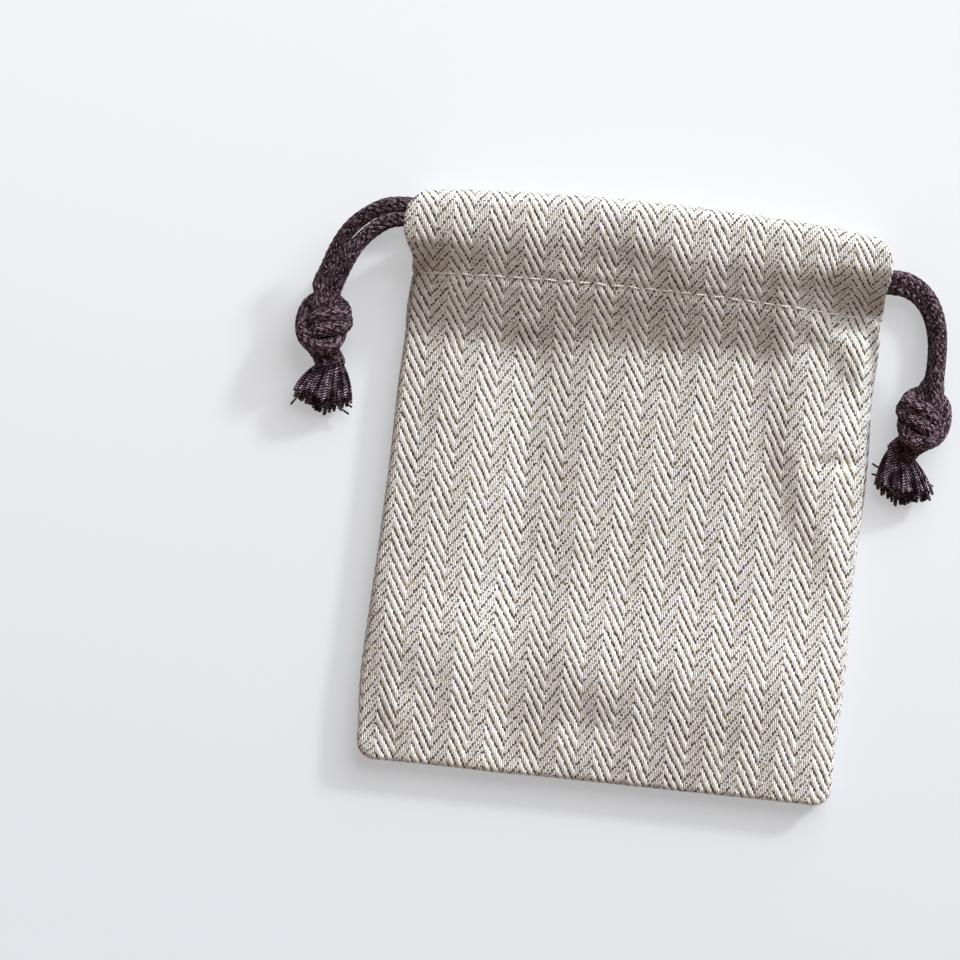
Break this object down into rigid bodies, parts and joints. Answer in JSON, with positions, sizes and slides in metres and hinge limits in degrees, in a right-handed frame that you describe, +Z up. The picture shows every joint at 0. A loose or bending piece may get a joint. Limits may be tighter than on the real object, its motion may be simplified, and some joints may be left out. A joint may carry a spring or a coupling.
{
  "type": "drawstring pouch",
  "caption": "Small flat cloth drawstring pouch lying on its back, with stitched casings and knotted, tasselled drawcords pulled out at each side.",
  "frame": {"origin": "on the surface that the pouch lies on, under the middle of its two panels", "axes": "+X across the pouch, +Y along its length to the mouth, +Z up from the surface, out of the front panel"},
  "size_m": [0.1382, 0.1216, 0.0174],
  "materials": {
    "cloth": "cream and khaki herringbone twill",
    "cord": "dark brown braided cotton",
    "frayed_cord": "dark brown frayed cotton yarn"
  },
  "bodies": {
    "pouch": {"front_panel": "cloth", "back_panel": "cloth", "right_cord_channel": "cord", "left_cord_channel": "cord"},
    "right_pull": {"right_cord_front_end": "cord", "right_cord_back_end": "cord", "right_knot": "cord", "right_tassel": "frayed_cord"},
    "left_pull": {"left_cord_front_end": "cord", "left_cord_back_end": "cord", "left_knot": "cord", "left_tassel": "frayed_cord"}
  },
  "joints": [
    {"name": "right_cord_pull", "type": "slide", "parent": "pouch", "child": "right_pull", "axis": [1, 0, 0], "range_m": [0, 0.038]},
    {"name": "left_cord_pull", "type": "slide", "parent": "pouch", "child": "left_pull", "axis": [-1, 0, 0], "range_m": [0, 0.038]}
  ]
}
